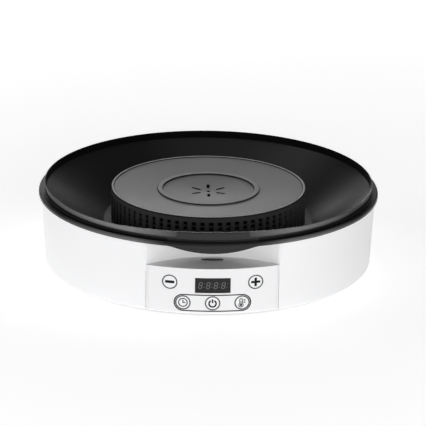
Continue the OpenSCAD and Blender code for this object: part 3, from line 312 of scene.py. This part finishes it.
print("mixing finishes")
finishes = {
    "casing_white": casingPlastic(),
    "key_white": mouldedPlastic("key_white", grey(0.90, 0.01), grey(0.85, 0.012), 0.38, 0.08, 0.5, 0.006,
                                edge=0.25),
    "trim_grey": ledgePlastic(),
    "window_smoke": mouldedPlastic("window_smoke", grey(0.012), grey(0.009), 0.22, 0.05, 2.0, 0.002,
                                   Specular_IOR_Level=0.3),
    "dark_plastic": mouldedPlastic("dark_plastic", grey(0.05), grey(0.03), 0.5, 0.1, 0.6, 0.01),
    "board_green": boardGreen(),
    "screw_steel": sheetMetal("screw_steel", grey(0.68), grey(0.5), 0.32),
    "dish_black": dishPlastic(),
    "cap_grey": capPlastic(),
    "sheet_steel": sheetMetal("sheet_steel", grey(0.62), grey(0.46), 0.36, stretch=(1, 6, 1)),
    "mica": mouldedPlastic("mica", (0.07, 0.065, 0.055, 1), (0.04, 0.037, 0.03, 1), 0.5, 0.2, 1.6, 0.02),
    "heater_wire": sheetMetal("heater_wire", (0.20, 0.185, 0.17, 1), (0.12, 0.11, 0.10, 1), 0.5),
    "lamination": sheetMetal("lamination", grey(0.30), grey(0.17), 0.45, stretch=(1, 1, 14)),
    "copper": sheetMetal("copper", (0.74, 0.34, 0.15, 1), (0.5, 0.2, 0.08, 1), 0.3, stretch=(1, 1, 10)),
    "bronze": sheetMetal("bronze", (0.6, 0.42, 0.2, 1), (0.42, 0.28, 0.12, 1), 0.45),
    "fan_aluminium": sheetMetal("fan_aluminium", grey(0.78), grey(0.62), 0.28, stretch=(5, 1, 1)),
    "plate_black": mouldedPlastic("plate_black", grey(0.022), grey(0.012), 0.5, 0.12, 0.9, 0.03),
    "rubber_black": mouldedPlastic("rubber_black", grey(0.020), grey(0.011), 0.75, 0.1, 0.8, 0.03),
}
legendBlack = mouldedPlastic("legend_black", grey(0.006), grey(0.004), 0.6, 0.1, 0.6, 0.004, edge=0.05,
                             Specular_IOR_Level=0.2)
outlineGrey = mouldedPlastic("outline_grey", grey(0.010), grey(0.006), 0.6, 0.1, 0.6, 0.004, edge=0.05,
                             Specular_IOR_Level=0.2)
digitGrey = mouldedPlastic("digit_grey", grey(0.15), grey(0.11), 0.4, 0.1, 0.6, 0.004, edge=0.05)
# painted shade: the steel shield under the cap's vents gets a dark finish, so the vents look dark
shieldShade = sheetMetal("shield_painted_shade", grey(0.05), grey(0.03), 0.5)

for part in frame["record"]["subparts"]:
    node = nodes[part["node"]]
    shield = part["node"] == "cap_shield"  # darkened, since it shows through the vents
    node.data.materials.clear()
    node.data.materials.append(shieldShade if shield else finishes[part["material_slot"]])


class Piece:
    # gathers closed solids into one mesh
    def __init__(self):
        self.mesh = bmesh.new()

    def tube(self, rings, closed):
        # rings of equal length, joined into a closed solid
        made = [[self.mesh.verts.new(point) for point in ring] for ring in rings]
        steps = len(made) if closed else len(made) - 1
        for i in range(steps):
            near, far = made[i], made[(i + 1) % len(made)]
            for j in range(len(near)):
                k = (j + 1) % len(near)
                self.mesh.faces.new((near[j], near[k], far[k], far[j]))
        if not closed:
            self.mesh.faces.new(list(reversed(made[0])))
            self.mesh.faces.new(made[-1])

    def strip(self, path, width, front, back, closed=False):
        # a flat strip on the panel's face along points (x, z); width may differ from point to point
        rings = []
        for i, (x, z) in enumerate(path):
            before = path[i - 1] if i or closed else path[i]
            after = path[(i + 1) % len(path)] if i + 1 < len(path) or closed else path[i]
            along = Vector((after[0] - before[0], after[1] - before[1])).normalized()
            half = (width[i] if isinstance(width, (list, tuple)) else width) / 2
            left = (x - along.y * half, z + along.x * half)
            right = (x + along.y * half, z - along.x * half)
            rings.append([onWall(*left, front), onWall(*right, front),
                          onWall(*right, back), onWall(*left, back)])
        self.tube(rings, closed)

    def disc(self, x, z, radius, front, back, count=20):
        turns = [2 * pi * i / count for i in range(count)]
        loop = [(x + radius * cos(turn), z + radius * sin(turn)) for turn in turns]
        self.tube([[onWall(*point, depth) for point in loop] for depth in (back, front)], False)

    def finish(self, name, material, slot, body):
        bmesh.ops.recalc_face_normals(self.mesh, faces=self.mesh.faces)
        data = bpy.data.meshes.new(name)
        self.mesh.to_mesh(data)
        self.mesh.free()
        made = bpy.data.objects.new(name, data)
        bpy.context.scene.collection.objects.link(made)
        data.materials.append(material)
        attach(made, body)


def arcPoints(x, z, radius, start, end, count):
    return [(x + radius * cos(radians(start + (end - start) * i / count)),
             z + radius * sin(radians(start + (end - start) * i / count))) for i in range(count + 1)]


keys = {"minus": (-41.2, 35.6), "plus": (41.2, 35.6),
        "timer": (-28.4, 15.1), "power": (0.0, 15.1), "temp": (28.4, 15.1)}
gapShade = {"radius": 7.1, "width": 0.54, "sunk": 0.03, "deep": 1.2}


def keyGapShades():
    # dark ring in the gap round each key, painted shade
    for name, (x, z) in keys.items():
        piece = Piece()
        ring = arcPoints(x, z, gapShade["radius"], 0, 360, 72)[:-1]
        piece.strip(ring, gapShade["width"], gapShade["sunk"], gapShade["deep"], closed=True)
        piece.finish("key_outline_" + name, outlineGrey, "rubber_black", "base")


capsule = {"radius": 8.3, "width": 1.15, "raised": -0.04, "rooted": 0.3, "step": 2.5}


def capsuleOutline():
    # dark line laid over the groove round the three lower keys
    piece = Piece()
    x, z = keys["temp"]
    path = arcPoints(x, z, capsule["radius"], -90, 90, 36) + arcPoints(-x, z, capsule["radius"], 90, 270, 36)
    line = [path[0]]
    for point in path[1:] + path[:1]:
        last = line[-1]
        along, up = point[0] - last[0], point[1] - last[1]
        parts = max(1, round(sqrt(along ** 2 + up ** 2) / capsule["step"]))
        line += [(last[0] + along * i / parts, last[1] + up * i / parts) for i in range(1, parts + 1)]
    piece.strip(line[:-1], capsule["width"], capsule["raised"], capsule["rooted"], closed=True)
    piece.finish("capsule_outline", outlineGrey, "rubber_black", "base")


legend = {"raised": -0.06, "rooted": 0.12, "ring": 6.48, "ringWidth": 0.5}


class Legend(Piece):
    # a sign in print on one key; it starts with the thin ring round the key's edge
    def __init__(self, key):
        super().__init__()
        self.key = key
        self.x, self.z = keys[key]
        self.line(arcPoints(self.x, self.z, legend["ring"], 0, 360, 60)[:-1], legend["ringWidth"], True)

    def line(self, path, width, closed=False):
        self.strip(path, width, legend["raised"], legend["rooted"], closed)

    def done(self):
        self.finish("legend_" + self.key, legendBlack, "dark_plastic", "key_" + self.key)


sign = {"half": 4.4, "minus": 2.7, "plus": 2.3}


def minusLegend():
    piece = Legend("minus")
    piece.line([(piece.x + sign["half"] * (i / 3 - 1), piece.z) for i in range(7)], sign["minus"])
    piece.done()


def plusLegend():
    piece = Legend("plus")
    x, z, half, bar = piece.x, piece.z, sign["half"], sign["plus"] / 2
    piece.line([(x - half + 2 * half * i / 6, z) for i in range(7)], 2 * bar)
    for side in (-1, 1):
        piece.line([(x, z + side * (bar + (half - bar) * i / 3)) for i in range(4)], 2 * bar)
    piece.done()


power = {"line": 1.5, "radius": 3.4, "drop": 0.4, "open": (120, 420), "stemFoot": 0.3, "stemStep": 0.95}


def powerLegend():
    piece = Legend("power")
    x, z = piece.x, piece.z
    piece.line(arcPoints(x, z - power["drop"], power["radius"], *power["open"], 40), power["line"])
    piece.line([(x, z + power["stemFoot"] + power["stemStep"] * i) for i in range(5)], power["line"])
    piece.done()


clock = {"line": 0.95, "radius": 4.1, "long": (1.2, 2.7), "short": (1.3, 2.3)}


def clockLegend():
    piece = Legend("timer")
    x, z, line = piece.x, piece.z, clock["line"]
    piece.line(arcPoints(x, z, clock["radius"], 0, 360, 48)[:-1], line, True)
    piece.line([(x, z + rise) for rise in (-line / 2, *clock["long"])], line)
    piece.line([(x + reach, z) for reach in (line / 2, *clock["short"])], line)
    piece.done()


thermometer = {"line": 0.76, "left": 1.0, "drop": 2.5, "bulb": 2.1, "stem": 1.25, "step": 0.9, "foot": 2.4,
               "top": 5.4, "shoulder": 5.1, "liquidBulb": 1.2, "liquid": (1.1, 2.4, 4.0),
               "marks": (2.4, 3.9, 5.4), "mark": (2.3, 3.2, 4.1)}


def thermometerLegend():
    piece = Legend("temp")
    sizes = thermometer
    x, z, line, stem = piece.x - sizes["left"], piece.z - sizes["drop"], sizes["line"], sizes["stem"]
    lean = asin(stem / sizes["bulb"]) * 180 / pi
    path = arcPoints(x, z, sizes["bulb"], 90 + lean, 450 - lean, 28)
    path += [(x + stem, z + sizes["foot"] + sizes["step"] * i) for i in range(4)]
    path += arcPoints(x, z + sizes["top"], stem, 0, 180, 12)
    path += [(x - stem, z + sizes["shoulder"] - sizes["step"] * i) for i in range(4)]
    piece.line(path, line, True)
    piece.disc(x, z, sizes["liquidBulb"], legend["raised"], legend["rooted"])
    piece.line([(x, z + rise) for rise in sizes["liquid"]], line)
    for rise in sizes["marks"]:
        piece.line([(x + reach, z + rise) for reach in sizes["mark"]], line)
    piece.done()


display = {"centres": (-11.8, -4.35, 3.0, 10.2), "z": 33.4, "tall": 6.2, "wide": 2.9, "line": 0.75,
           "tip": 0.08, "apart": 0.16, "slant": 9, "face": 0.19, "rooted": 0.3, "dot": 0.4, "dotRise": 1.7,
           "dotAside": 2.2}


def displayDigits():
    # four slanted seven-segment digits with two dots after each
    piece = Piece()
    lean = tan(radians(display["slant"]))
    tall, wide, line, apart = display["tall"] / 2, display["wide"] / 2, display["line"], display["apart"]
    segments = [((-wide, tall), (wide, tall)), ((-wide, 0), (wide, 0)), ((-wide, -tall), (wide, -tall)),
                ((-wide, 0), (-wide, tall)), ((wide, 0), (wide, tall)),
                ((-wide, -tall), (-wide, 0)), ((wide, -tall), (wide, 0))]
    widths = [display["tip"], line, line, line, display["tip"]]
    for centre in display["centres"]:
        for (ax, az), (bx, bz) in segments:
            length = sqrt((bx - ax) ** 2 + (bz - az) ** 2)
            ux, uz = (bx - ax) / length, (bz - az) / length
            steps = [apart, apart + line / 2, length / 2, length - apart - line / 2, length - apart]
            flat = [(ax + ux * step, az + uz * step) for step in steps]
            path = [(centre + x + z * lean, display["z"] + z) for x, z in flat]
            piece.strip(path, widths, display["face"], display["rooted"])
        for rise in (-display["dotRise"], display["dotRise"]):
            piece.disc(centre + wide + display["dotAside"] + rise * lean, display["z"] + rise,
                       display["dot"], display["face"], display["rooted"], 12)
    piece.finish("display_digits", digitGrey, "trim_grey", "base")


print("printing the panel")
keyGapShades()
capsuleOutline()
minusLegend()
plusLegend()
powerLegend()
clockLegend()
thermometerLegend()
displayDigits()

# round CAD faces are shaded smooth
for node in nodes.values():
    for face in node.data.polygons:
        face.use_smooth = True

stageSetup = {"floor": 4.0, "sunk": 0.0002, "shades": (0.8, 0.83), "glow": 0.76, "world": 0.1,
              "halo": [(0.3, 0.86), (0.9, 1.0)]}

lampAim = (0, 0, 0.06)
softboxes = {
    "top_box": {"at": (0.0, 0.0, 2.2), "size": 1.5, "power": 2.4},
    "high_box": {"at": (0.9, -1.8, 1.2), "size": 1.2, "power": 4.0},
    "front_box": {"at": (0.35, -2.36, 0.3), "size": 1.2, "power": 25.5, "diffuse": True},
    "left_box": {"at": (-2.2, 0.2, 0.4), "size": 1.1, "power": 17, "diffuse": True},
    "highBack_box": {"at": (-1.0, 1.0, 2.2), "size": 1.0, "power": 2.3},
    "back_box": {"at": (0.0, 2.2, 0.28), "size": 0.45, "power": 2.0},
    "backHigh_box": {"at": (0.0, 2.0, 1.0), "size": 0.8, "power": 1.15},
    "backLeft_box": {"at": (-0.6, 2.1, 0.62), "size": 0.5, "power": 0.85},
    "backRight_box": {"at": (0.6, 2.1, 0.62), "size": 0.5, "power": 0.3},
}


def floorAndLight():
    mesh = bmesh.new()
    bmesh.ops.create_grid(mesh, x_segments=4, y_segments=4, size=stageSetup["floor"])
    data = bpy.data.meshes.new("floor")
    mesh.to_mesh(data)
    mesh.free()
    floor = bpy.data.objects.new("floor", data)
    floor.location.z = -stageSetup["sunk"]
    bpy.context.scene.collection.objects.link(floor)
    paper = Finish("paper", Roughness=0.8, Specular_IOR_Level=0.1, Emission_Strength=stageSetup["glow"])
    drift = paper.noise(300)
    across, deep = paper.axes(paper.place, 0, 1)
    away = (across * across + deep * deep).root()  # metres from the middle
    halo = [(place, grey(tone)) for place, tone in stageSetup["halo"]]
    shades = [grey(tone) for tone in stageSetup["shades"]]
    data.materials.append(paper.give(Base_Color=paper.blend(drift, *shades),
                                     Emission_Color=paper.ramp(away, halo)))
    world = bpy.data.worlds.new("studio")
    world.use_nodes = True
    sky = world.node_tree.nodes["Background"]
    sky.inputs["Color"].default_value = (1, 1, 1, 1)
    sky.inputs["Strength"].default_value = stageSetup["world"]
    bpy.context.scene.world = world
    for name, box in softboxes.items():
        light = bpy.data.lights.new(name, "AREA")
        light.shape, light.size, light.energy = "DISK", box["size"], box["power"]
        lamp = bpy.data.objects.new(name, light)
        lamp.location = box["at"]
        towards = Vector(lampAim) - Vector(box["at"])
        lamp.rotation_euler = towards.to_track_quat("-Z", "Y").to_euler()
        lamp.visible_glossy = not box.get("diffuse", False)  # the two strong low boxes only fill
        bpy.context.scene.collection.objects.link(lamp)


view = {"elevation": 19.1, "turn": 2.0, "roll": 0.81, "distance": 3.0, "lens": 251.8, "sensor": 36,
        "aim": (0, 0, 0.048), "slideRight": 4.95, "slideUp": 1.65}


def placeCamera():
    tilt, turn, roll = (radians(view[key]) for key in ("elevation", "turn", "roll"))
    look = Vector((sin(turn) * cos(tilt), cos(turn) * cos(tilt), -sin(tilt)))
    right = Vector((cos(turn), -sin(turn), 0))
    up = right.cross(look)
    across = right * cos(roll) + up * sin(roll)
    upward = up * cos(roll) - right * sin(roll)
    spot = Vector(view["aim"]) - look * view["distance"]
    spot = spot + across * view["slideRight"] * mm + upward * view["slideUp"] * mm
    lens = bpy.data.cameras.new("camera")
    lens.lens, lens.sensor_width = view["lens"], view["sensor"]
    lens.clip_start, lens.clip_end = 0.1, 50
    camera = bpy.data.objects.new("camera", lens)
    camera.matrix_world = Matrix.Translation(spot) @ Matrix((across, upward, -look)).transposed().to_4x4()
    bpy.context.scene.collection.objects.link(camera)
    bpy.context.scene.camera = camera


print("setting the stage")
floorAndLight()
placeCamera()
bpy.context.scene.view_settings.view_transform = "Standard"
